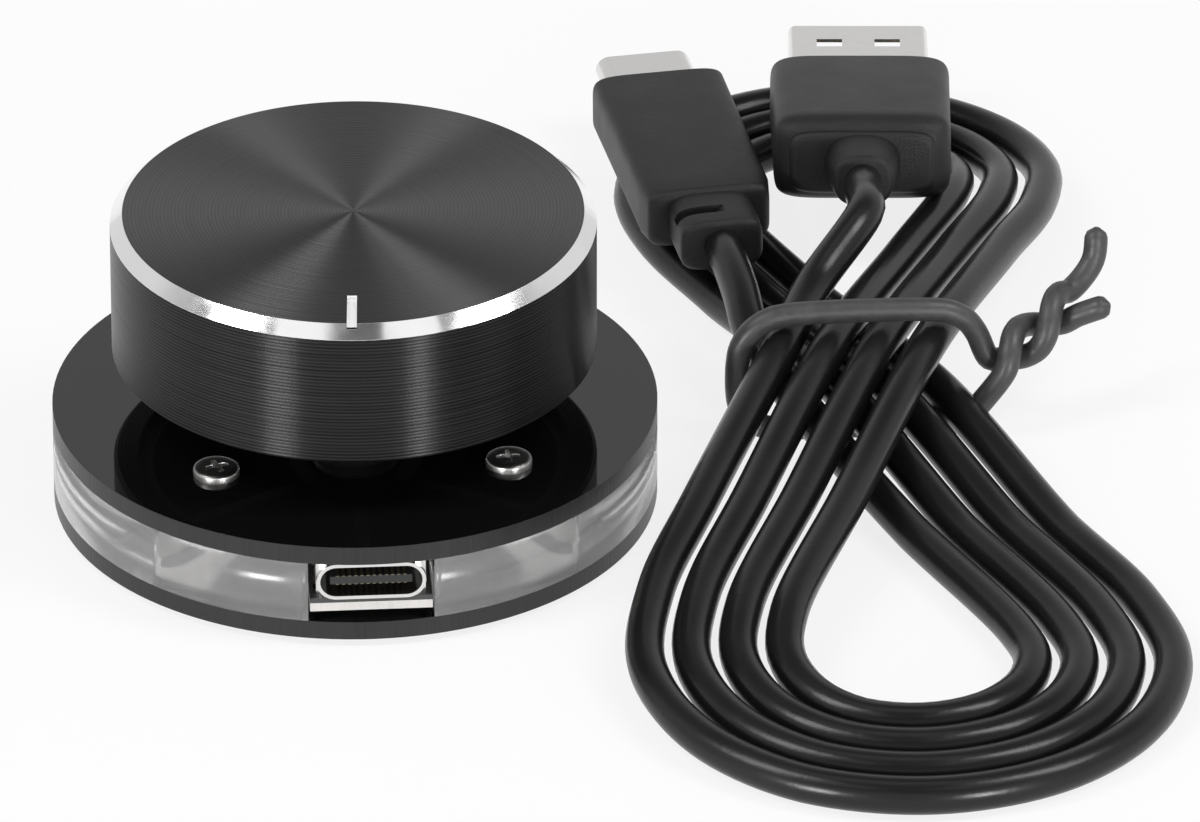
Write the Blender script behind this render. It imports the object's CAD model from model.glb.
import math

import bmesh
import bpy
from mathutils import Matrix, Vector


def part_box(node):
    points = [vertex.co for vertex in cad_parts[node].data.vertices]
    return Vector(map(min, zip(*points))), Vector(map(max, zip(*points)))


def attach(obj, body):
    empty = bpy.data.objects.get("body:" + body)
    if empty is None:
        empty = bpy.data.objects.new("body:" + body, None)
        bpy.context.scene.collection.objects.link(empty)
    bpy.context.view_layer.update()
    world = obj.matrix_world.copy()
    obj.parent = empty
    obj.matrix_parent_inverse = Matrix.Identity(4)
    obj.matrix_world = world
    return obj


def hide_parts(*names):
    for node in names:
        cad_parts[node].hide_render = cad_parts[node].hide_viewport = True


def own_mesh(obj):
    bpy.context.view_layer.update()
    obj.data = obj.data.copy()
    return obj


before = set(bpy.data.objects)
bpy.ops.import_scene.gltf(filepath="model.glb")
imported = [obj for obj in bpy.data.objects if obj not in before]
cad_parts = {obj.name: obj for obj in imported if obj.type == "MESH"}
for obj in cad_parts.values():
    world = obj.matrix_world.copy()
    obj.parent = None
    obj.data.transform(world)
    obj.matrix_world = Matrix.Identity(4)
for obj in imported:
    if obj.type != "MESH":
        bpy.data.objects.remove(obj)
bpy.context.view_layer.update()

# ---- Desk, light and camera ----
# A plain white desk that keeps a soft shadow, with a soft box at each side and a light above,
# two dim panels and two low strips in front, and a long lens. All but the sensor is in metres.

MM = 0.001
DESK_HALF, DESK_DROP, GLOW_SHARE = 3.0, 0.00005, 0.82
KNOB_MIDDLE = Vector((0.0, 0.0, 0.012))
CAMERA_TURN, CAMERA_RISE, CAMERA_AWAY = -3.9, 29.5, 1.2
VIEW_MIDDLE, VIEW_WIDTH, SENSOR_WIDTH = Vector((0.0204, 0.0015, 0.0062)), 0.0995, 36.0
CRISP = math.radians(40)
scene = bpy.context.scene


class Field:
    """A value that varies over a surface: one socket of a finish's nodes, used in sums."""

    def __init__(self, tree, socket=None):
        self.tree, self.socket = tree, socket

    def node(self, kind, settings=(), inputs=(), out=0):
        """Adds a node: its settings first, then the values or links of its sockets."""
        made = self.tree.nodes.new(kind)
        for name, value in dict(settings).items():
            setattr(made, name, value)
        for name, value in dict(inputs).items():
            if isinstance(value, Field):
                self.tree.links.new(value.socket, made.inputs[name])
            else:
                made.inputs[name].default_value = value
        return Field(self.tree, made.outputs[out] if made.outputs else None)

    def maths(self, how, *values):
        """Adds a Math node on values and sockets."""
        return self.node("ShaderNodeMath", {"operation": how}, enumerate(values))

    def __add__(self, other):
        return self.maths("ADD", self, other)

    def __mul__(self, other):
        return self.maths("MULTIPLY", self, other)

    def __sub__(self, other):
        return self.maths("SUBTRACT", self, other)

    def __rsub__(self, other):
        return self.maths("SUBTRACT", other, self)

    def __gt__(self, other):
        return self.maths("GREATER_THAN", self, other)

    def __lt__(self, other):
        return self.maths("LESS_THAN", self, other)

    __radd__, __rmul__ = __add__, __mul__


def finish(name):
    """Starts a finish: the material, and the point on the piece in millimetres."""
    material = bpy.data.materials.new(name)
    material.use_nodes = True
    material.node_tree.nodes.clear()
    metres = Field(material.node_tree).node("ShaderNodeTexCoord", out="Object")
    scaled = {0: metres, "Scale": 1 / MM}
    return material, metres.node("ShaderNodeVectorMath", {"operation": "SCALE"}, scaled)


def part(point, axis):
    """One coordinate of a point."""
    return point.node("ShaderNodeSeparateXYZ", {}, {"Vector": point}, out=axis)


def between(share, low, high):
    """A colour part of the way from low to high: 6, 7 and 2 are the node's colour sockets."""
    return share.node("ShaderNodeMix", {"data_type": "RGBA", "clamp_factor": True},
                      {0: share, 6: low, 7: high}, out=2)


def spread(share, low, high, start=0.0, end=1.0):
    """A number from start to end as share goes from low to high, smooth at both ends."""
    ends = {"From Min": low, "From Max": high, "To Min": start, "To Max": end}
    return share.node("ShaderNodeMapRange", {"interpolation_type": "SMOOTHSTEP"},
                      {"Value": share, **ends})


def grey(value, warmth=0.0):
    """A grey, or a warm or cool one where red and blue stand apart by warmth."""
    return (value * (1 + warmth), value, value * (1 - warmth), 1.0)


def linked(name, data):
    """A new object of the scene."""
    thing = bpy.data.objects.new(name, data)
    scene.collection.objects.link(thing)
    return thing


def built(name, shape, material, crisp=False):
    """The piece that a shape makes, with its sharp edges kept crisp if asked."""
    mesh = bpy.data.meshes.new(name)
    shape.to_mesh(mesh)
    shape.free()
    if crisp:
        mesh.set_sharp_from_angle(angle=CRISP)
    mesh.materials.append(material)
    return linked(name, mesh)


desk_white, at = finish("desk_white")
camera_ray, glossy_ray, clear_ray = (at.node("ShaderNodeLightPath", out=f"Is {kind} Ray")
                                     for kind in ("Camera", "Glossy", "Transmission"))
seen = camera_ray + glossy_ray + clear_ray
paper = at.node("ShaderNodeBsdfDiffuse", {}, {"Color": grey(0.80)})
glow = at.node("ShaderNodeEmission", {}, {"Color": grey(1.0), "Strength": 1.0})
lit = at.node("ShaderNodeMixShader", {}, {0: (seen > 0.5) * GLOW_SHARE, 1: paper, 2: glow})
at.node("ShaderNodeOutputMaterial", {}, {"Surface": lit})

shape = bmesh.new()
bmesh.ops.create_grid(shape, x_segments=2, y_segments=2, size=DESK_HALF)
desk = built("desk", shape, desk_white)
desk.location.z = -DESK_DROP

scene.view_settings.view_transform = "Standard"
scene.world = bpy.data.worlds.new("studio")
scene.world.use_nodes = True
scene.world.node_tree.nodes.clear()
sky = Field(scene.world.node_tree)
towards = sky.node("ShaderNodeTexCoord", out="Generated")
room = between(spread(part(towards, "Z"), 0.45, 0.80), grey(0.72), grey(0.14))
for_camera = sky.node("ShaderNodeBackground", {}, {"Color": grey(1.0), "Strength": 1.0})
for_object = sky.node("ShaderNodeBackground", {}, {"Color": room, "Strength": 1.0})
camera_ray = sky.node("ShaderNodeLightPath", out="Is Camera Ray")
both = sky.node("ShaderNodeMixShader", {}, {0: camera_ray, 1: for_object, 2: for_camera})
sky.node("ShaderNodeOutputWorld", {}, {"Surface": both})


def stand(thing, azimuth, elevation, distance, middle):
    """Sets a lamp or a camera to face middle: degrees to the right of the front and up."""
    a, e = math.radians(azimuth), math.radians(elevation)
    way = Vector((math.sin(a) * math.cos(e), -math.cos(a) * math.cos(e), math.sin(e)))
    thing.location = middle + distance * way
    thing.rotation_euler = (thing.location - middle).to_track_quat("Z", "Y").to_euler()


def lamp(name, azimuth, elevation, distance, width, height, power):
    """A soft box that faces the knob: its sides in metres and its power in watts."""
    light = bpy.data.lights.new(name, "AREA")
    light.shape, light.size, light.size_y, light.energy = "RECTANGLE", width, height, power
    box = linked(name, light)
    box.visible_camera = False
    stand(box, azimuth, elevation, distance, KNOB_MIDDLE)


lamp("softbox_left", -74, 54, 0.8, 0.18, 0.40, 2.5)
lamp("softbox_right", 76, 54, 0.8, 0.18, 0.40, 2.5)
lamp("front_left", -36, 57, 0.8, 0.26, 0.20, 0.14)
lamp("front_right", 34, 57, 0.8, 0.26, 0.20, 0.14)
lamp("overhead", 180, 80, 0.9, 0.50, 0.35, 0.35)
lamp("strip_left", -36, 7, 0.8, 0.17, 0.20, 3.2)
lamp("strip_right", 26, 7, 0.8, 0.10, 0.20, 2.4)

camera = linked("camera", bpy.data.cameras.new("camera"))
camera.data.sensor_width = SENSOR_WIDTH
camera.data.lens = SENSOR_WIDTH * CAMERA_AWAY / VIEW_WIDTH
stand(camera, CAMERA_TURN, CAMERA_RISE, CAMERA_AWAY, VIEW_MIDDLE)
scene.camera = camera

# ---- Cord ----
# A metre of round black cord: soft extruded sheath over the wires. It is wound into a
# figure of eight whose strands cross at the waist, where the tie holds them.

CORD_D, STRAND_GAP, LOOPS, HANK_L = 3.2, 0.6, 3, 120.0
HANK_AT = Vector((43.5, 4.0, 0.0))
LANE = CORD_D + STRAND_GAP
UPPER_R = 3 * CORD_D + LOOPS * LANE
LOWER_R = 3 * CORD_D - LANE / 4
UPPER_Y = HANK_L / 2 - (UPPER_R - LANE) - CORD_D / 2
LOWER_Y = -HANK_L / 2 + LOWER_R + (LOOPS + 0.4) * LANE + CORD_D / 2
CROSS = math.asin((UPPER_R + LOWER_R) / (UPPER_Y - LOWER_Y))
CROSS_Y = UPPER_Y - (UPPER_Y - LOWER_Y) * UPPER_R / (UPPER_R + LOWER_R)
WAIST_Y = CROSS_Y + (LOOPS + 0.5) * LANE / 2 / math.sin(CROSS)
REACH = LOOPS * LANE / 2 / math.sin(CROSS) + 1.7 * CORD_D
TIE_D, STOREY_GAP, HUMP_GAP = 2.0, 0.9, 0.4
STOREY, HUMP = CORD_D + STOREY_GAP, TIE_D + HUMP_GAP
LOW = CORD_D / 2
LOBE_STEPS, SLOPE_STEPS, SLOPE_SHARE, SLOPE_CURVE = 8, 3, 0.6, 1.6
CORD_STEP, TUBE_STEPS = 1.2, 6


def on_run(side, u, y, z):
    """A point of a straight run, u lanes out: side -1 falls to the right and 1 rises to it."""
    return Vector((side * ((y - CROSS_Y) * math.tan(CROSS) - u * LANE / math.cos(CROSS)), y, z))


def lobe(y, radius, start, turn, slope_at):
    """Points round one end of the hank, with a long slope where a strand leaves the desk: the
    radius changes by a quarter of a lane from the first point to the last."""
    for i in range(LOBE_STEPS + 1):
        a = start + turn * i / LOBE_STEPS
        r = radius(i / LOBE_STEPS / 4)
        near = max(0, 1 - abs(i - slope_at) / SLOPE_STEPS)
        rise_by = STOREY * SLOPE_SHARE * near ** SLOPE_CURVE
        yield Vector((r * math.cos(a), y + r * math.sin(a), LOW + rise_by))


def lower_lobe(k):
    """Turn k round the lower end, which leaves the desk at its last point."""
    return lobe(LOWER_Y, lambda u: LOWER_R + (k + 0.25 + u) * LANE, CROSS,
                -(math.pi + 2 * CROSS), LOBE_STEPS)


def upper_lobe(k):
    """Turn k round the upper end, which comes down to the desk from its first point."""
    return lobe(UPPER_Y, lambda u: UPPER_R - (k + 0.75 + u) * LANE, -CROSS,
                math.pi + 2 * CROSS, 0)


def fall(k):
    """Run k down to the right: on the desk, with a hump over the tie."""
    return [on_run(-1, k + 0.06, WAIST_Y + REACH, LOW), on_run(-1, k + 0.12, WAIST_Y, LOW + HUMP),
            on_run(-1, k + 0.19, WAIST_Y - REACH, LOW)]


def rise(k):
    """Run k up to the right: a storey above the runs that it crosses."""
    return [on_run(1, k + 0.56, WAIST_Y - REACH, LOW + STOREY),
            on_run(1, k + 0.62, WAIST_Y, LOW + STOREY + HUMP),
            on_run(1, k + 0.69, WAIST_Y + REACH, LOW + STOREY)]


def plug_way(turn, dip):
    """The direction of a plug, from its cord end to its nose."""
    t, d = math.radians(turn), math.radians(dip)
    return Vector((-math.sin(t) * math.cos(d), math.cos(t) * math.cos(d), math.sin(d)))


SMALL_END, SMALL_TURN, SMALL_DIP = Vector((-11.0, WAIST_Y + 19.5, 7.4)), 7.0, -2.0
LARGE_END, LARGE_TURN, LARGE_DIP = Vector((1.2, WAIST_Y + 23.0, 11.2)), -4.0, -9.0
small_way, large_way = plug_way(SMALL_TURN, SMALL_DIP), plug_way(LARGE_TURN, LARGE_DIP)

route = [SMALL_END, SMALL_END - small_way * CORD_D,
         SMALL_END - small_way * 2.4 * CORD_D - Vector((0, 0, 0.5)),
         on_run(-1, 0.1, WAIST_Y + 6.5, LOW + 1.9 * HUMP), on_run(-1, 0.12, WAIST_Y, LOW + HUMP),
         on_run(-1, 0.19, WAIST_Y - REACH, LOW), *lower_lobe(0), *rise(0)]
for turn in range(1, LOOPS + 1):
    route += [*upper_lobe(turn - 1), *fall(turn), *lower_lobe(turn)]
    route += rise(turn) if turn < LOOPS else rise(turn)[:2]
route += [on_run(1, LOOPS + 0.64, WAIST_Y + 9, LOW + STOREY + HUMP + 1.2),
          LARGE_END - large_way * 2.4 * CORD_D,
          LARGE_END - large_way * CORD_D, LARGE_END]
route = [(p + HANK_AT) * MM for p in route]


def through(points, step):
    """Points about step apart on one smooth line through all the given points."""
    ends = [2 * points[0] - points[1], *points, 2 * points[-1] - points[-2]]
    line = []
    for a, b, c, d in zip(ends, ends[1:], ends[2:], ends[3:]):
        t1 = (b - a).length ** 0.5
        t2 = t1 + (c - b).length ** 0.5
        t3 = t2 + (d - c).length ** 0.5
        count = max(1, round((c - b).length / step))
        for i in range(count):
            t = t1 + (t2 - t1) * i / count
            ab = a + (b - a) * t / t1
            bc = b + (c - b) * (t - t1) / (t2 - t1)
            cd = c + (d - c) * (t - t2) / (t3 - t2)
            abc = ab + (bc - ab) * t / t2
            bcd = bc + (cd - bc) * (t - t1) / (t3 - t1)
            line.append(abc + (bcd - abc) * (t - t1) / (t2 - t1))
    return line + [points[-1]]


def drawn(name, line, radius, material):
    """A round piece of even thickness along a line, kept above the desk."""
    curve = bpy.data.curves.new(name, "CURVE")
    curve.dimensions, curve.bevel_depth, curve.bevel_resolution = "3D", radius, TUBE_STEPS
    curve.use_fill_caps = True
    spline = curve.splines.new("POLY")
    spline.points.add(len(line) - 1)
    for place, p in zip(spline.points, line):
        place.co = (p.x, p.y, max(p.z, radius), 1.0)
    curve.materials.append(material)
    return linked(name, curve)


def grain(point, scale, detail=2.0, roughness=0.5, stretch=(1, 1, 1)):
    """Noise of about 1 / scale millimetres, drawn out along an axis by a small stretch."""
    drawn_out = point.node("ShaderNodeVectorMath", {"operation": "MULTIPLY"}, {0: point, 1: stretch})
    noise = {"Vector": drawn_out, "Scale": scale, "Detail": detail, "Roughness": roughness}
    return point.node("ShaderNodeTexNoise", {}, noise)


def bumped(height, distance):
    """The surface direction where height, times distance in millimetres, stands out of it."""
    return height.node("ShaderNodeBump", {}, {"Height": height, "Distance": distance * MM})


def close(point, **sockets):
    """Ends a finish in one surface shader: underscores in the names stand for spaces."""
    shader = point.node("ShaderNodeBsdfPrincipled", {},
                        {name.replace("_", " "): value for name, value in sockets.items()})
    point.node("ShaderNodeOutputMaterial", {}, {"Surface": shader})


cord_black, at = finish("cord_black")
wear = grain(at, 0.12, 2.0)
skin = grain(at, 9.0, 2.0)
close(at, Base_Color=between(wear, grey(0.006), grey(0.010)), IOR=1.38,
      Roughness=spread(wear, 0.3, 0.7, 0.22, 0.29),
      Normal=bumped(skin + grain(at, 1.4) * 2.0, 0.006))

cord_line = through(route, CORD_STEP * MM)
cord = drawn("cord", cord_line, CORD_D / 2 * MM, cord_black)
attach(cord, "base")
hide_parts("usb_cable")
cord_length = sum((b - a).length for a, b in zip(cord_line, cord_line[1:]))

# ---- Small plug ----
# The slim plug that fits the knob's socket: a plated steel nose with a black liner, in a
# moulded grip whose relief is slotted so that it bends. It lies on the strands.

ROUND_STEPS = 96


def set_at(end, turn, dip):
    """Takes a plug drawn along +Y in millimetres to its place in the hank."""
    tilted = Matrix.Rotation(math.radians(turn), 4, "Z") @ Matrix.Rotation(math.radians(dip), 4, "X")
    return Matrix.Scale(MM, 4) @ Matrix.Translation(HANK_AT + end) @ tilted


def skinned(shape, rings, smooth=ROUND_STEPS):
    """Joins rings of points into a closed shape with flat ends. The first faces of each band,
    as many as smooth says, are shaded smooth."""
    for ring, following in zip(rings, rings[1:]):
        for i in range(len(ring)):
            j = (i + 1) % len(ring)
            face = shape.faces.new((ring[i], ring[j], following[j], following[i]))
            face.smooth = i < smooth
    shape.faces.new(rings[0][::-1])
    shape.faces.new(rings[-1])


def moulded(name, place, stations, power, material, dents=()):
    """A moulding through flat round-cornered slices, each y, width and height, with dents:
    each from y0 to y1 and x0 to x1 on the upper or lower face, and a depth."""
    shape = bmesh.new()
    rings = []
    for y, width, height in stations:
        ring = []
        for i in range(ROUND_STEPS):
            a = 2 * math.pi * (i + 0.5) / ROUND_STEPS
            x, z = (size / 2 * math.copysign(abs(unit) ** (2 / power), unit)
                    for size, unit in ((width, math.cos(a)), (height, math.sin(a))))
            for y0, y1, x0, x1, side, depth in dents:
                if y0 <= y <= y1 and x0 <= x <= x1 and z * side > 0:
                    z -= side * depth
            ring.append(shape.verts.new(place @ Vector((x, y, z))))
        rings.append(ring)
    skinned(shape, rings)
    bmesh.ops.recalc_face_normals(shape, faces=shape.faces)
    return built(name, shape, material, crisp=True)


def rounded(y, width, height, radius, way):
    """Slices that round off an end at y: way 1 for the far end and -1 for the near one."""
    slices = []
    for a in map(math.radians, range(0, 91, 15)):
        inset = 2 * radius * (1 - math.cos(a))
        slices.append((y - way * radius * (1 - math.sin(a)), width - inset, height - inset))
    return slices if way > 0 else slices[::-1]


def dress(material, *names):
    """Gives CAD nodes a finish."""
    for name in names:
        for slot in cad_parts[name].material_slots:
            slot.material = material


grip_black, at = finish("grip_black")
spark = grain(at, 5.0, 3.0, 0.7)
cloud = grain(at, 0.3, 2.0)
close(at, Base_Color=between(cloud, grey(0.009), grey(0.012)), IOR=1.40,
      Roughness=spread(cloud, 0.2, 0.8, 0.44, 0.50), Normal=bumped(spark, 0.05))

RELIEF, RELIEF_W, RELIEF_H = 5.5, 7.2, 4.6
SLIT_FROM, SLIT_TO, SLIT_IN, SLIT_OUT, SLIT_DEEP, SLIT_EDGE = 2.0, 3.1, 0.32, 3.52, 1.3, 0.1
GRIP, GRIP_H = 23.0, 5.6
small_place = set_at(SMALL_END, SMALL_TURN, SMALL_DIP)
slits = [(SLIT_FROM, SLIT_TO, -SLIT_OUT, -SLIT_IN, 1, SLIT_DEEP),
         (SLIT_FROM, SLIT_TO, SLIT_IN, SLIT_OUT, -1, SLIT_DEEP)]
slices = rounded(0.0, RELIEF_W - 0.1, RELIEF_H, 0.5, -1)
slices += [(y, RELIEF_W, RELIEF_H)
           for y in (SLIT_FROM - SLIT_EDGE, SLIT_FROM, SLIT_TO, SLIT_TO + SLIT_EDGE, RELIEF + 1)]
small_relief = moulded("small_relief", small_place, slices, 4.0, grip_black, slits)
slices = [*rounded(RELIEF, 10.6, GRIP_H - 0.3, 0.7, -1), (RELIEF + 2.5, 11.2, GRIP_H),
          (RELIEF + 12, 11.3, GRIP_H), *rounded(RELIEF + GRIP, 11.5, GRIP_H, 0.4, 1)]
small_grip = moulded("small_grip", small_place, slices, 6.0, grip_black)
for piece in (small_relief, small_grip):
    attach(piece, "base")
    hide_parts("c_plug_grip")

plated_steel, at = finish("plated_steel")
haze = grain(at, 0.9, 3.0)
scuff = grain(at, 6.0, 2.0, stretch=(1, 0.15, 1))
close(at, Base_Color=between(haze, grey(0.70, 0.015), grey(0.80, 0.01)), Metallic=1.0,
      Roughness=spread(haze + scuff * 0.5, 0.4, 1.1, 0.14, 0.26), Normal=bumped(scuff, 0.002))
dress(plated_steel, "c_plug_shell")

liner_black, at = finish("liner_black")
close(at, Base_Color=between(grain(at, 1.5), grey(0.008), grey(0.014)),
      Roughness=spread(grain(at, 3.0), 0.3, 0.7, 0.4, 0.55), Normal=bumped(grain(at, 6.0), 0.004))
dress(liner_black, "c_plug_liner")

# ---- Large plug ----
# The broad plug for a computer: a folded steel shell with latch windows round a white
# tongue with four gilt contacts, in a grained grip with a short tapered relief.

LARGE_RELIEF, LARGE_GRIP, LARGE_H = 4.5, 17.5, 7.6
large_place = set_at(LARGE_END, LARGE_TURN, LARGE_DIP)
slices = [*rounded(0.0, 5.0, 4.6, 0.4, -1), (1.2, 5.4, 4.8), (LARGE_RELIEF + 0.6, 6.6, 5.2)]
large_relief = moulded("large_relief", large_place, slices, 2.6, grip_black)
slices = [*rounded(LARGE_RELIEF, 12.4, 5.6, 0.6, -1), (LARGE_RELIEF + 0.8, 13.4, 6.3),
          (LARGE_RELIEF + 1.4, 14.5, 7.1), (LARGE_RELIEF + 2.0, 15.0, 7.55),
          (LARGE_RELIEF + 3.0, 15.1, LARGE_H),
          *rounded(LARGE_RELIEF + LARGE_GRIP, 15.4, LARGE_H, 0.4, 1)]
large_grip = moulded("large_grip", large_place, slices, 6.0, grip_black)
for piece in (large_relief, large_grip):
    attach(piece, "base")
    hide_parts("a_plug_grip")
dress(plated_steel, "a_plug_shell")

tongue_white, at = finish("tongue_white")
close(at, Base_Color=between(grain(at, 0.8, 3.0), grey(0.66, 0.02), grey(0.78, 0.02)),
      Roughness=spread(grain(at, 2.0), 0.3, 0.7, 0.38, 0.52), Normal=bumped(grain(at, 8.0), 0.003))
dress(tongue_white, "a_plug_tongue", "encoder_rotor", "switch_plunger", "board_spacers")

gilt, at = finish("gilt")
rub = grain(at, 4.0, 3.0, stretch=(1, 0.2, 1))
close(at, Base_Color=between(rub, (0.62, 0.47, 0.24, 1), (0.80, 0.66, 0.40, 1)), Metallic=1.0,
      Roughness=spread(rub, 0.3, 0.7, 0.18, 0.36), Normal=bumped(rub, 0.002))
dress(gilt, "a_plug_contacts", "contact_wiper", "encoder_terminals")

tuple(route[0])

# ---- Tie ----
# A length of wire in a soft black coat, bent once round the waist of the hank by hand. Its
# two ends are twisted together beside the hank, and left to stand up.

TIE_SLACK, TIE_OVER, TIE_UNDER = 1.3, 0.35, 0.02
TIE_X = -LANE / 4 / math.cos(CROSS)
TIE_HALF = (LOOPS * LANE + CORD_D) / 2 / math.cos(CROSS) + TIE_SLACK + TIE_D / 2
TIE_LOW, TIE_HIGH = TIE_D / 2 + TIE_UNDER, HUMP + STOREY + CORD_D + TIE_OVER + TIE_D / 2
CORNER_STEPS, HIGH_BEND, LOW_BEND, TIE_DRIFT = 5, 4.2, 3.0, 2.7
TWIST_STEPS, TWIST_L, TWIST_OFF, TWIST_R = 8, 9, 1.4, 0.6 * TIE_D
TIE_STEP, TIP_STEPS, TIP_LEAST = 0.4, 2.4, 0.04


def tie_point(i):
    """The tie's loop: a rectangle whose corners are round, drifting along Y from start to end."""
    corner, place = i // CORNER_STEPS % 4, i % CORNER_STEPS
    a = math.radians(90 * corner + 90 * place / (CORNER_STEPS - 1))
    r = HIGH_BEND if corner < 2 else LOW_BEND
    x = (1 if corner in (0, 3) else -1) * (TIE_HALF - r)
    y = WAIST_Y + TIE_DRIFT * (0.5 - i / (4 * CORNER_STEPS - 1))
    z = TIE_HIGH - r if corner < 2 else TIE_LOW + r
    return Vector((TIE_X + x + r * math.cos(a), y, z + r * math.sin(a)))


twist_start = Vector((TIE_X + TIE_HALF + TWIST_OFF, WAIST_Y, (TIE_LOW + TIE_HIGH) / 2))
twist_way = Vector((0.78, 0.42, 0.46)).normalized()
twist_side = Vector((-twist_way.y, twist_way.x, 0)).normalized()
twist_up = twist_way.cross(twist_side)


def twist_point(i, end):
    """One of the two ends that wind round each other, on the side of the twist given by end."""
    a = math.radians(end - i * 45)
    off = math.cos(a) * twist_side + math.sin(a) * twist_up
    return twist_start + twist_way * TWIST_L * i / TWIST_STEPS + TWIST_R * off


first_tip, last_tip = twist_point(TWIST_STEPS, 0), twist_point(TWIST_STEPS - 1, 180)
tie_route = [first_tip + Vector((2.4, 2.4, 4.6)), first_tip + Vector((2.0, 1.6, 1.8))]
tie_route += [twist_point(i, 0) for i in range(TWIST_STEPS, -1, -1)]
tie_route += [tie_point(i) for i in range(1, 4 * CORNER_STEPS - 1)]
tie_route += [twist_point(i, 180) for i in range(TWIST_STEPS)]
tie_route += [last_tip + Vector((2.6, -0.8, 1.4))]

tie_black, at = finish("tie_black")
crease = grain(at, 1.2, 3.0)
close(at, Base_Color=between(crease, grey(0.030), grey(0.052)), IOR=1.5,
      Roughness=spread(crease, 0.3, 0.7, 0.36, 0.50),
      Normal=bumped(crease + grain(at, 7.0) * 0.3, 0.05))
tie_line = through([(p + HANK_AT) * MM for p in tie_route], TIE_STEP * MM)
tie = drawn("tie", tie_line, TIE_D / 2 * MM, tie_black)
for i, place in enumerate(tie.data.splines[0].points):
    inward = min(i, len(tie_line) - 1 - i) / TIP_STEPS
    place.radius = math.sqrt(max(TIP_LEAST, 1 - max(0, 1 - inward) ** 2))
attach(tie, "base")
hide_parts("twist_tie")

# ---- Bottom plate ----
# A disc sawn from polished black acrylic, whose edge keeps the marks of the saw, with a soft
# pad stuck under it. Four countersunk screws, hidden by the pad, go up into the standoffs.

pad_rubber, at = finish("pad_rubber")
cells = at.node("ShaderNodeTexVoronoi", {}, {"Vector": at, "Scale": 2.4})
close(at, Base_Color=between(grain(at, 0.5, 3.0), grey(0.010), grey(0.020)),
      Roughness=spread(cells, 0.0, 0.6, 0.85, 0.70), Normal=bumped(cells, 0.04))
dress(pad_rubber, "foot_pad")

PLATE_R, EDGE_SKIN = 25.0, 0.03
CROWN_LOW, CROWN_HIGH = 9.68, 9.80


def from_axis(point):
    """How far a point is from the knob's axis."""
    level = point.node("ShaderNodeVectorMath", {"operation": "MULTIPLY"}, {0: point, 1: (1, 1, 0)})
    return level.node("ShaderNodeVectorMath", {"operation": "LENGTH"}, {0: level}, out="Value")


def round_axis(point):
    """A point's turn round the knob's axis, in radians."""
    return point.maths("ARCTAN2", part(point, "Y"), part(point, "X"))


def line_noise(value, scale, detail=2.0):
    """Noise along one number."""
    return value.node("ShaderNodeTexNoise", {"noise_dimensions": "1D"},
                      {"W": value, "Scale": scale, "Detail": detail})


black_acrylic, at = finish("black_acrylic")
edge = from_axis(at) > PLATE_R - EDGE_SKIN
turn = round_axis(at)
saw = line_noise(turn, 90.0, 4.0) + line_noise(turn, 14.0) * 0.6
dust = grain(at, 2.2, 5.0, 0.7)
close(at, Base_Color=between(edge * spread(saw, 0.2, 1.3), grey(0.0035), grey(0.011)), IOR=1.49,
      Roughness=edge * 0.34 + spread(dust, 0.55, 0.8, 0.035, 0.12),
      Normal=bumped(edge * saw, 0.018))
dress(black_acrylic, "bottom_plate")

# The screws' heads on the top plate darken from CROWN_LOW up to CROWN_HIGH.
screw_steel, at = finish("screw_steel")
turned = grain(at, 3.0, 3.0)
crown = spread(part(at, "Z"), CROWN_LOW, CROWN_HIGH)
clean_steel = between(turned, grey(0.50, 0.02), grey(0.62, 0.015))
close(at, Base_Color=between(crown, clean_steel, grey(0.22, 0.02)), Metallic=1.0,
      Roughness=spread(turned, 0.3, 0.7, 0.30, 0.40), Normal=bumped(turned, 0.001))
dress(screw_steel, "bottom_screws")

brass, at = finish("brass")
mark = line_noise(part(at, "Z"), 12.0)
close(at, Base_Color=between(grain(at, 1.0), (0.42, 0.27, 0.08, 1), (0.62, 0.43, 0.16, 1)),
      Metallic=1.0, Roughness=spread(mark, 0.3, 0.7, 0.26, 0.42), Normal=bumped(mark, 0.01))
dress(brass, "standoffs")

# ---- Circuit board ----
# Glass-fibre board under white mask, milled to shape, with a tab that carries the socket to
# the base's edge. It bears the controller, small components and eight edge lights.

# The milled rim looks dark outside RIM_IN and above RIM_LOW.
RIM_IN, RIM_LOW = 16.6, 3.75
board_white, at = finish("board_white")
weave = grain(at, 1.6, 2.0, stretch=(1, 1, 0.2)) + grain(at, 9.0, stretch=(1, 1, 0.3)) * 0.4
x_off, y_off = (at.maths("ABSOLUTE", part(at, axis)) for axis in "XY")
milled = (at.maths("MAXIMUM", x_off, y_off) > RIM_IN) * (part(at, "Z") > RIM_LOW)
mask = between(weave, grey(0.40, 0.03), grey(0.54, 0.03))
close(at, Base_Color=between(milled, mask, grey(0.04)),
      Roughness=spread(weave, 0.4, 1.0, 0.35, 0.55), Normal=bumped(weave, 0.02))
dress(board_white, "circuit_board")

chip_black, at = finish("chip_black")
close(at, Base_Color=between(grain(at, 4.0, 3.0), grey(0.012), grey(0.022)),
      Roughness=spread(grain(at, 8.0), 0.3, 0.7, 0.55, 0.7), Normal=bumped(grain(at, 14.0), 0.006))
dress(chip_black, "controller_chip")

led_white, at = finish("led_white")
close(at, Base_Color=between(grain(at, 3.0), (0.66, 0.62, 0.42, 1), (0.80, 0.78, 0.66, 1)),
      Roughness=spread(grain(at, 6.0), 0.3, 0.7, 0.3, 0.45), Normal=bumped(grain(at, 10.0), 0.004))
dress(led_white, "edge_leds")

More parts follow.
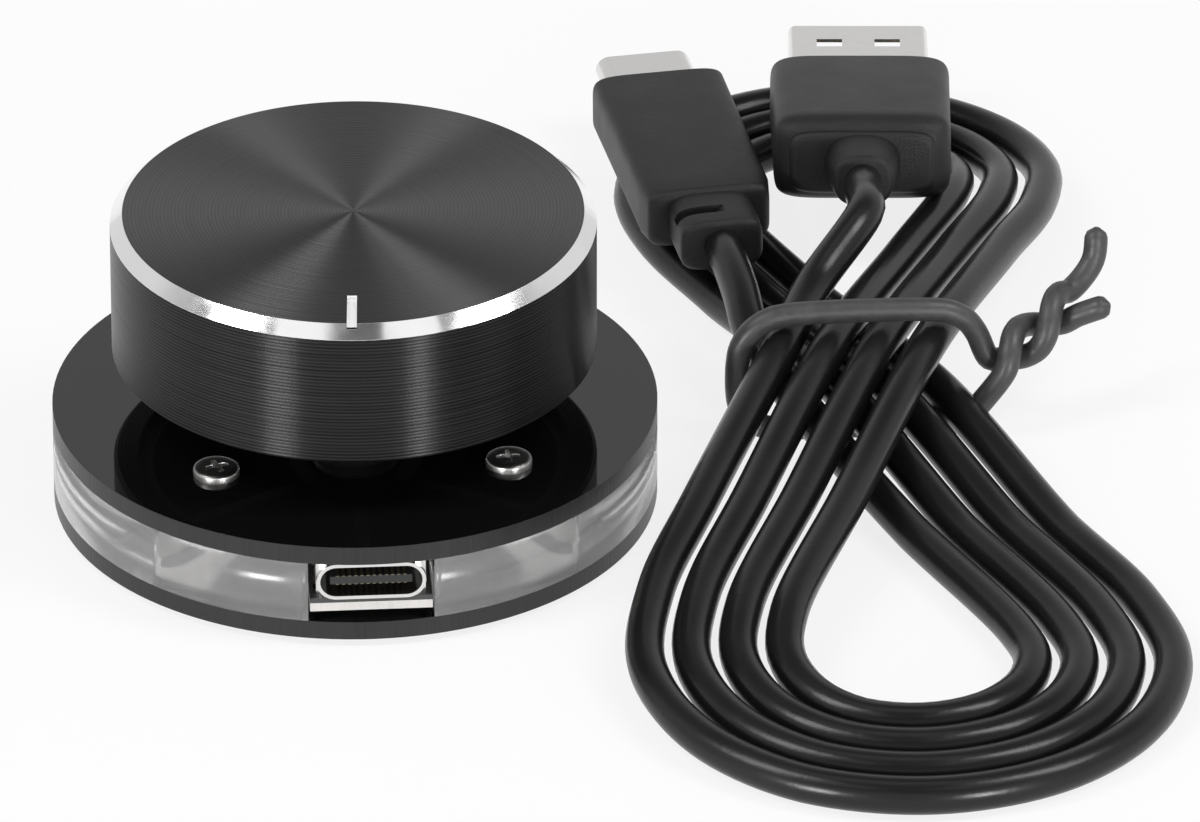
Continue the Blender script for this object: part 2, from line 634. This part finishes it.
component_brown, at = finish("component_brown")
close(at, Base_Color=between(grain(at, 2.0, 3.0), (0.16, 0.10, 0.06, 1), (0.32, 0.21, 0.13, 1)),
      Roughness=spread(grain(at, 6.0), 0.3, 0.7, 0.4, 0.6), Normal=bumped(grain(at, 10.0), 0.01))
dress(component_brown, "small_components")

# ---- Socket ----
# A small drawn and plated steel shell, soldered to the board's tab, round a black insulator
# whose thin tongue carries two rows of gilt contacts.

dress(plated_steel, "socket_shell")
dress(liner_black, "socket_insulator")

dull_gilt, at = finish("dull_gilt")
tarnish = grain(at, 3.0, 2.0)
close(at, Base_Color=between(tarnish, (0.17, 0.15, 0.11, 1), (0.27, 0.24, 0.18, 1)), Metallic=1.0,
      Roughness=spread(tarnish, 0.3, 0.7, 0.34, 0.46), Normal=bumped(tarnish, 0.001))
dress(dull_gilt, "socket_contacts")

# ---- Clear ring ----
# A ring milled from clear acrylic: its outer face is left satin by the cutter, and the square
# pocket for the board is cleaner, so that the pocket's walls show through it.

RING_LOW, RING_TOP, RING_SKIN, SATIN_SKIN = 2.2, 7.6, 0.01, 0.1
POCKET, POCKET_BEND, MOUTH, ARC_STEPS = 34.0, 0.5, 10.3, 240

clear_acrylic, at = finish("clear_acrylic")
satin = from_axis(at) > PLATE_R - SATIN_SKIN
cut = line_noise(round_axis(at), 60.0, 3.0) + line_noise(part(at, "Z"), 5.0) * 0.5
haze = grain(at, 0.12, 1.0)
close(at, Base_Color=between(haze, grey(0.92), grey(0.97)), Transmission_Weight=0.88, IOR=1.49,
      Roughness=satin * spread(haze + cut * 0.15, 0.4, 0.9, 0.14, 0.19) + 0.03,
      Normal=bumped(satin * cut, 0.003))

mouth_turn = math.asin(MOUTH / 2 / PLATE_R)
outer = [mouth_turn - math.pi / 2 + i * (2 * math.pi - 2 * mouth_turn) / ARC_STEPS
         for i in range(ARC_STEPS + 1)]
outline = [(PLATE_R * math.cos(a), PLATE_R * math.sin(a)) for a in outer]
outline += [(-MOUTH / 2, -POCKET / 2)]
inner = POCKET / 2 - POCKET_BEND
for sx, sy, start in ((-1, -1, 270), (-1, 1, 180), (1, 1, 90), (1, -1, 0)):
    outline += [(sx * inner + POCKET_BEND * math.cos(a), sy * inner + POCKET_BEND * math.sin(a))
                for a in (math.radians(start - 15 * i) for i in range(7))]
outline += [(MOUTH / 2, -POCKET / 2)]
shape = bmesh.new()
layers = [[shape.verts.new((x * MM, y * MM, z * MM)) for x, y in outline]
          for z in (RING_LOW + RING_SKIN, RING_TOP - RING_SKIN)]
skinned(shape, layers, smooth=ARC_STEPS)
bmesh.ops.recalc_face_normals(shape, faces=shape.faces)
clear_ring = built("clear_ring", shape, clear_acrylic)
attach(clear_ring, "base")
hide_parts("light_ring")

# ---- Encoder ----
# A bought rotary encoder with a push switch: die-cast cover with the bushing, folded steel
# frame, moulded housing and floor, steel shaft, and inside them rotor, spring and dome.

steel, at = finish("steel")
lathe = line_noise(part(at, "Z"), 9.0, 3.0)
close(at, Base_Color=between(grain(at, 0.8, 3.0), grey(0.42, 0.01), grey(0.58, 0.01)),
      Metallic=1.0, Roughness=spread(lathe, 0.3, 0.7, 0.24, 0.40), Normal=bumped(lathe, 0.01))
dress(steel, "encoder_shaft", "shaft_clip", "encoder_frame", "detent_spring")

DOME_LOW, DOME_RISE, DOME_R, DOME_SHEET, PRESS = 4.7, 0.65, 2.3, 0.1, 0.5
DOME_STEPS, SPIN_STEPS, WELD = 12, 48, 0.001
ball = (DOME_R ** 2 + DOME_RISE ** 2) / (2 * DOME_RISE)
ball_z = DOME_LOW + DOME_RISE - ball
profile = []
for r, steps in ((ball, range(DOME_STEPS + 1)), (ball - DOME_SHEET, range(DOME_STEPS, -1, -1))):
    rim = math.acos((ball - DOME_RISE) / r)
    profile += [(r * math.sin(rim * i / DOME_STEPS), ball_z + r * math.cos(rim * i / DOME_STEPS))
                for i in steps]
shape = bmesh.new()
line = [shape.verts.new((x * MM, 0, z * MM)) for x, z in profile]
line += [shape.edges.new(pair) for pair in zip(line, line[1:])]
bmesh.ops.spin(shape, geom=line, axis=(0, 0, 1), cent=(0, 0, 0), angle=2 * math.pi,
               steps=SPIN_STEPS)
bmesh.ops.remove_doubles(shape, verts=shape.verts, dist=WELD * MM)
bmesh.ops.recalc_face_normals(shape, faces=shape.faces)
for face in shape.faces:
    face.smooth = True
snap_dome = built("snap_dome", shape, steel, crisp=True)
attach(snap_dome, "base")
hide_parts("switch_dome")
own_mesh(snap_dome)

die_cast, at = finish("die_cast")
close(at, Base_Color=between(grain(at, 1.2, 4.0), grey(0.30, 0.01), grey(0.44, 0.01)),
      Metallic=1.0, Roughness=spread(grain(at, 3.0), 0.3, 0.7, 0.38, 0.55),
      Normal=bumped(grain(at, 5.0, 3.0), 0.02))
dress(die_cast, "encoder_cover")
dress(liner_black, "encoder_housing", "encoder_base")

# ---- Top plate ----
# A second disc of the same black acrylic closes the base. Four low pan-head screws with
# cross recesses, each left turned as it came tight, hold it on the standoffs.

dress(black_acrylic, "top_plate")

HEAD_R, SHANK_R, PLATE_TOP, FLAT_R, FLAT_Z, FLAT_RISE = 1.9, 0.99, 9.2, 1.2, 9.93, 0.03
FLAT_STEPS, TIP_R = 24, 0.01
RECESS_L, RECESS_W, RECESS_DEEP, RECESS_WALL, RECESS_END = 1.05, 0.24, 0.55, 0.07, 0.45
screws_low, screws_high = (Vector(corner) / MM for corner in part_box("top_screws"))
profile = [(TIP_R, screws_low.z), (SHANK_R, screws_low.z), (SHANK_R, PLATE_TOP),
           (HEAD_R, PLATE_TOP + 0.01), (HEAD_R, PLATE_TOP + 0.44), (HEAD_R - 0.04, PLATE_TOP + 0.56),
           (HEAD_R - 0.13, PLATE_TOP + 0.64), (HEAD_R - 0.3, PLATE_TOP + 0.69),
           (HEAD_R - 0.5, PLATE_TOP + 0.715)]
profile += [(FLAT_R - FLAT_R * i / FLAT_STEPS, FLAT_Z + FLAT_RISE * i / (FLAT_STEPS - 1))
            for i in range(FLAT_STEPS)]
profile += [(TIP_R, FLAT_Z + FLAT_RISE)]


def arm(across, along):
    """How deep one arm of the cross is at a point, from 0 to 1: its ends slope up."""
    side = (RECESS_W - abs(across)) / RECESS_WALL
    end = (RECESS_L - abs(along)) / RECESS_END
    return max(0, min(1, side)) * max(0, min(1, end))


shape = bmesh.new()
for sx, sy, twist in ((-1, -1, 0.35), (1, -1, 0.04), (1, 1, 1.1), (-1, 1, 0.7)):
    middle = Vector((sx * (screws_high.x - HEAD_R), sy * (screws_high.y - HEAD_R), 0))
    rings = []
    for r, z in profile:
        ring = []
        for i in range(ROUND_STEPS):
            a = 2 * math.pi * i / ROUND_STEPS
            x, y = r * math.cos(a), r * math.sin(a)
            deep = RECESS_DEEP * max(arm(x, y), arm(y, x)) if z >= FLAT_Z else 0
            spot = Vector((r * math.cos(a + twist), r * math.sin(a + twist), z - deep))
            ring.append(shape.verts.new(MM * (middle + spot)))
        rings.append(ring)
    skinned(shape, rings)
bmesh.ops.recalc_face_normals(shape, faces=shape.faces)
pan_head_screws = built("pan_head_screws", shape, screw_steel, crisp=True)
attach(pan_head_screws, "base")
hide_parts("top_screws")

# ---- Knob ----
# A cap turned from aluminium and anodised black, and then a bright bevel is cut round its
# top, and a pointer across it. A moulded insert inside it grips the encoder's shaft.

dress(liner_black, "knob_core")

KNOB_R, KNOB_TOP, BEVEL, POINTER_DEPTH = 20.0, 26.7, 1.0, 0.35
CUT_PITCH, DISHED, TOP_SKIN, BEVEL_SKIN, POINTER_SKIN = 0.30, 16.0, 0.01, 0.03, 0.02
knob_finish, at = finish("anodised_and_cut")
reach, rise_z = from_axis(at), part(at, "Z")
along = reach + rise_z
ring_cut = at.maths("SINE", along * (2 * math.pi / CUT_PITCH))
uneven = line_noise(along, 3.0, 3.0)
arc = at.node("ShaderNodeCombineXYZ", {}, {"X": round_axis(at) * 1.5, "Y": along * 6.0})
streak = arc.node("ShaderNodeTexNoise", {"noise_dimensions": "2D"},
                  {"Vector": arc, "Scale": 1.0, "Detail": 3.0})
on_top = rise_z > KNOB_TOP - TOP_SKIN
share = uneven * 0.2 + streak * 0.2 + on_top * 0.6 + ring_cut * 0.11
furrow = ring_cut * 0.5 + uneven * 0.5 + streak * 0.3 - reach * DISHED
black = at.node("ShaderNodeBsdfPrincipled", {},
                {"Base Color": between(share, grey(0.011), grey(0.125)), "Metallic": 1.0,
                 "Roughness": spread(uneven, 0.3, 0.7, 0.30, 0.35) + on_top * 0.04,
                 "Anisotropic": 0.97, "Anisotropic Rotation": 0.25,
                 "Normal": bumped(furrow, 0.008)})
shine = grain(at, 0.35, 2.0)
nick = grain(at, 0.7, 1.0)
on_bevel = along > KNOB_R + KNOB_TOP - BEVEL - BEVEL_SKIN
bright = at.node("ShaderNodeBsdfPrincipled", {},
                 {"Base Color": between(shine, grey(0.86), grey(0.96)),
                  "Metallic": on_bevel * 0.7 + 0.3,
                  "Roughness": spread(shine, 0.35, 0.75, 0.10, 0.20) + (1 - on_bevel) * 0.3,
                  "Normal": bumped(nick, 0.0004)})
below_top = (rise_z < KNOB_TOP - POINTER_SKIN) * (rise_z > KNOB_TOP - 2 * POINTER_DEPTH)
in_pointer = below_top * (reach < KNOB_R - BEVEL)
is_bright = at.maths("MAXIMUM", on_bevel, in_pointer)
both = at.node("ShaderNodeMixShader", {}, {0: is_bright, 1: black, 2: bright})
at.node("ShaderNodeOutputMaterial", {}, {"Surface": both})
dress(knob_finish, "knob_cap")
